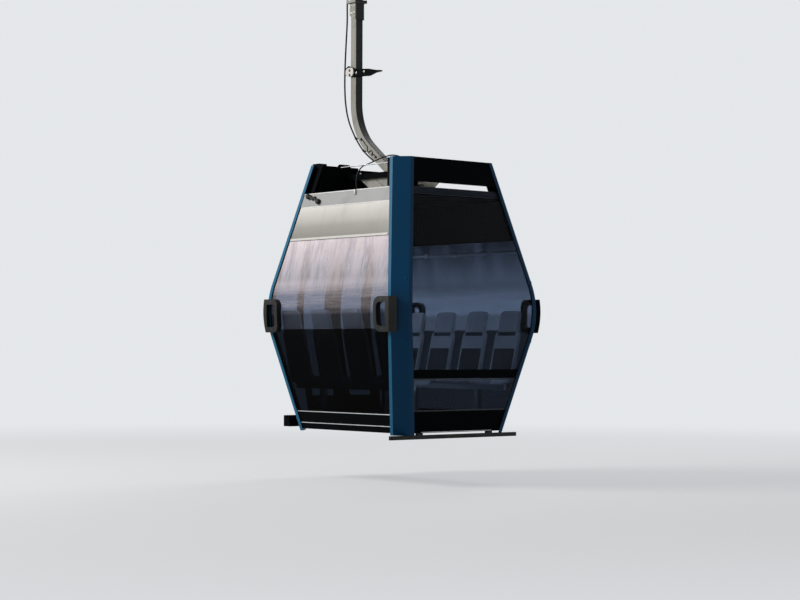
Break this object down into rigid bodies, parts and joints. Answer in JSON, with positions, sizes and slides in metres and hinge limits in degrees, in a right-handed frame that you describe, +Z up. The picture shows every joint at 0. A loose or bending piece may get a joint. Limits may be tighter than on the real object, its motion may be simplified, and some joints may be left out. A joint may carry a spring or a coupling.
{
  "type": "cable car cabin",
  "caption": "Cable car cabin with waisted glass walls, blue corner posts, sliding doors and facing seats, hung by a bent arm from a detachable rope grip.",
  "frame": {"origin": "on the rope's axis, in the middle of the grip's jaw", "axes": "+X along the rope, +Y to the door side and the hanger arm, +Z up"},
  "size_m": [1.8416, 2.0707, 4.96],
  "materials": {
    "blue_paint": "semi-gloss blue coat",
    "cream_paint": "satin off-white coat",
    "roof_paint": "satin grey coat",
    "black_paint": "satin black coat",
    "floor_rubber": "studded grey rubber",
    "tinted_glass": "tinted",
    "filmed_glass": "dark film",
    "galvanised": "weathered zinc",
    "black_rubber": "moulded",
    "cable_rubber": "sheathed cable",
    "aluminium_rail": "mill finish",
    "seat_shell": "moulded light grey",
    "cast_grip": "cast steel, zinc painted",
    "steel": "machined",
    "spring_steel": "black",
    "wheel_tread": "polyurethane tread"
  },
  "bodies": {
    "grip": {"grip_body": "cast_grip", "grip_pivot": "steel", "traction_plate": "steel", "grip_springs": "spring_steel"},
    "jaw": {"movable_jaw": "cast_grip"},
    "jaw_roller": {"jaw_roller": "wheel_tread"},
    "wheel_front": {"running_wheel_front": "wheel_tread"},
    "wheel_rear": {"running_wheel_rear": "wheel_tread"},
    "door_front": {"door_leaf_front": "black_paint", "door_pane_front": "tinted_glass"},
    "door_rear": {"door_leaf_rear": "black_paint", "door_pane_rear": "tinted_glass"},
    "carrier": {"corner_posts": "blue_paint", "end_panel_front": "cream_paint", "end_panel_rear": "cream_paint", "end_window_front": "tinted_glass", "end_window_rear": "tinted_glass", "end_lower_panel_front": "filmed_glass", "end_lower_panel_rear": "filmed_glass", "side_window": "tinted_glass", "side_lower_glass": "tinted_glass", "side_rail": "black_paint", "sill_frame": "black_paint", "floor": "floor_rubber", "roof_panel": "roof_paint", "side_fairings": "black_paint", "glazing_seals": "black_rubber", "end_linings": "black_paint", "ceiling_lining": "black_paint", "corner_gussets": "black_paint", "door_portal": "black_paint", "door_side_panes": "tinted_glass", "door_hang_rail": "aluminium_rail", "door_sill_rail": "black_paint", "guide_rail": "black_rubber", "buffers_front": "black_rubber", "buffers_rear": "black_rubber", "seats_front": "seat_shell", "seats_rear": "seat_shell", "seat_frames": "aluminium_rail", "grab_rails": "aluminium_rail", "hanger_arm": "galvanised", "hanger_head": "galvanised", "hanger_collar": "galvanised", "hanger_bracket": "black_paint", "bracket_pad": "cream_paint", "stay_rod": "aluminium_rail", "hanger_base": "galvanised", "roof_dampers": "black_rubber", "roof_beams": "black_paint", "door_drive": "black_paint", "hanger_cable": "cable_rubber", "roof_cable": "cable_rubber"}
  },
  "joints": [
    {"name": "hanger_swing", "type": "hinge", "parent": "grip", "child": "carrier", "pos_m": [0, 0.332, -0.11], "axis": [0, 1, 0], "range_deg": [-30, 30]},
    {"name": "jaw_open", "type": "hinge", "parent": "grip", "child": "jaw", "pos_m": [0, 0.06, 0.15], "axis": [-1, 0, 0], "range_deg": [0, 14], "stiffness_Nm_per_rad": 300, "springref_deg": -17.19, "deforming": ["grip_springs"]},
    {"name": "jaw_roller_spin", "type": "hinge", "parent": "jaw", "child": "jaw_roller", "pos_m": [0, 0.253, 0.188], "axis": [0, 1, 0], "continuous": true},
    {"name": "wheel_front_spin", "type": "hinge", "parent": "grip", "child": "wheel_front", "pos_m": [0.23, 0.215, 0.11], "axis": [0, 1, 0], "continuous": true},
    {"name": "wheel_rear_spin", "type": "hinge", "parent": "grip", "child": "wheel_rear", "pos_m": [-0.23, 0.215, 0.11], "axis": [0, 1, 0], "continuous": true},
    {"name": "door_front_slide", "type": "slide", "parent": "carrier", "child": "door_front", "axis": [1, 0, 0], "range_m": [0, 0.38]},
    {"name": "door_rear_slide", "type": "slide", "parent": "carrier", "child": "door_rear", "axis": [-1, 0, 0], "range_m": [0, 0.38]}
  ],
  "couplings": [
    {"joint": "door_rear_slide", "follows": "door_front_slide", "ratio": 1}
  ]
}
